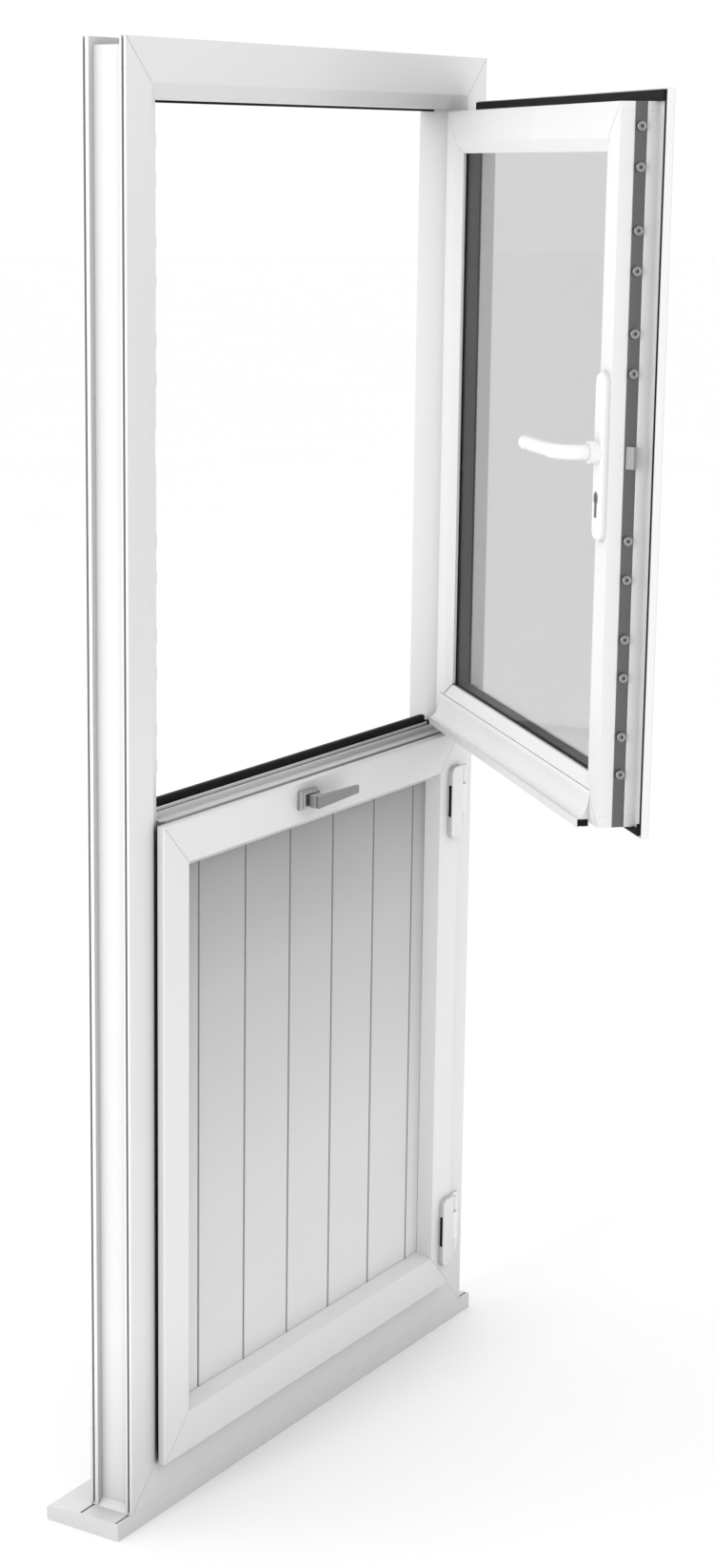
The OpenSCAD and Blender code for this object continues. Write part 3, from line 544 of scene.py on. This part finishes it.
# faces of the rollers, in pairs above and below the latch, each with a dark disc in its socket as painted shade
roller = {"face": 78, "y": 18, "latchZ": 1463.5, "first": 104, "pairPitch": 125, "pairGap": 49,
          "profile": [(5.9, -0.5), (5.9, 0.05), (5.5, 0.4), (3.4, 0.4), (3.1, 0.12)],
          "socket": [(2.5, 0.0), (2.5, 0.2)], "socketSides": 6}
for rod, sign, which in (("rod_top", 1, "Top"), ("rod_bottom", -1, "Bottom")):
    faces, sockets = [], []
    for pair in range(3):
        for j in range(2):
            away = roller["first"] + roller["pairPitch"] * pair + roller["pairGap"] * j
            centre = (roller["face"], roller["y"], roller["latchZ"] + sign * away)
            faces.append(turned(centre, toLock, roller["profile"]))
            sockets.append(turned(centre, toLock, roller["socket"], roller["socketSides"]))
    makePiece("rollerFaces" + which, rod, "lock_steel", *merge(faces))
    # painted shade: the dark discs stand for the shaded sockets
    makePiece("rollerSockets" + which, rod, "lock_steel", *merge(sockets), smooth=False,
              finish="dark")
print("stage: leaf edge")


# black end of the rain deflector
drip = {"ends": (116.7, 118.2), "y": (46.4, 60.6), "z": (986.2, 995.2)}
(y0, y1), (z0, z1) = drip["y"], drip["z"]
makePiece("deflectorEnd", "upper_leaf", "seal",
          *alongWidth([(y0, z0), (y1, z0), (y1, z1), (y0, z1)], drip["ends"]), smooth=False)

# black pieces in the slots of the hinge covers: painted shade of the slots
pocket = {"x": (825.6, 829.0), "y": (-21.2, -16.6), "low": -21, "high": 27}
pocketHeights = {"lowerPocketTop": ("lower_leaf", 856), "lowerPocketBottom": ("lower_leaf", 150),
                 "upperPocketTop": ("upper_leaf", 1817), "upperPocketBottom": ("upper_leaf", 1090)}
(x0, x1), (y0, y1) = pocket["x"], pocket["y"]
for name, (body, z) in pocketHeights.items():
    ends = (z + pocket["low"], z + pocket["high"])
    makePiece(name, body, "seal",
              *alongHeight([(x0, y0), (x1, y0), (x1, y1), (x0, y1)], ends), smooth=False)
print("stage: ends and pockets")


# camera
view = {"place": (-3.3868, -2.1317, 1.8459), "turn": 0.5933, "dip": -0.2165, "roll": 0.0021,
        "lens": 65.04, "sensor": 36, "shiftX": 0.0948, "shiftY": 0.0016, "near": 0.05, "far": 60}


# turns a camera or lamp to look along a direction
def aim(held, ahead, roll=0.0):
    held.rotation_mode = "QUATERNION"
    held.rotation_quaternion = (ahead.to_track_quat("-Z", "Y")
                                @ Matrix.Rotation(roll, 4, "Z").to_quaternion())


lens = bpy.data.cameras.new("camera")
lens.lens = view["lens"]
lens.sensor_width = view["sensor"]
lens.shift_x = view["shiftX"]
lens.shift_y = view["shiftY"]
lens.clip_start, lens.clip_end = view["near"], view["far"]
camera = bpy.data.objects.new("camera", lens)
bpy.context.scene.collection.objects.link(camera)
camera.location = view["place"]
aim(camera, Vector((math.cos(view["turn"]) * math.cos(view["dip"]),
                    math.sin(view["turn"]) * math.cos(view["dip"]), math.sin(view["dip"]))),
    view["roll"])
bpy.context.scene.camera = camera

# pale floor
ground = {"half": 90, "tones": ((0.97, 0.97, 0.97), (0.985, 0.985, 0.985)), "cloud": 0.8,
          "roughness": 0.7}
half = ground["half"]
floorMesh = bpy.data.meshes.new("floor")
floorMesh.from_pydata([(-half, -half, 0), (half, -half, 0), (half, half, 0), (-half, half, 0)],
                      [], [(0, 1, 2, 3)])
floor = bpy.data.objects.new("floor", floorMesh)
bpy.context.scene.collection.objects.link(floor)
paleFloor = Finish("paleFloor")
floorTone = paleFloor.blend(paleFloor.noise(ground["cloud"]), *ground["tones"])
floorMesh.materials.append(paleFloor.done({"Base Color": floorTone,
                                           "Roughness": ground["roughness"]}))

# soft studio light: two square lamps that look at the middle of the door, and a white world
lights = {"side": {"place": (-5.0, 0.36, 2.3), "size": 1.0, "power": 60},
          "back": {"place": (-3.6, 4.6, 3.4), "size": 3.0, "power": 22}}
lookAt = Vector((0, 0, 1))
worldStrength = 1.02
for name, light in lights.items():
    lamp = bpy.data.lights.new(name, "AREA")
    lamp.shape = "SQUARE"
    lamp.size = light["size"]
    lamp.energy = light["power"]
    held = bpy.data.objects.new(name, lamp)
    bpy.context.scene.collection.objects.link(held)
    held.location = light["place"]
    aim(held, lookAt - Vector(light["place"]))
world = bpy.data.worlds.new("studio")
world.use_nodes = True
sky = world.node_tree.nodes["Background"]
sky.inputs["Color"].default_value = (1, 1, 1, 1)
sky.inputs["Strength"].default_value = worldStrength
bpy.context.scene.world = world
bpy.context.scene.view_settings.view_transform = "Standard"
print("stage: camera and light")
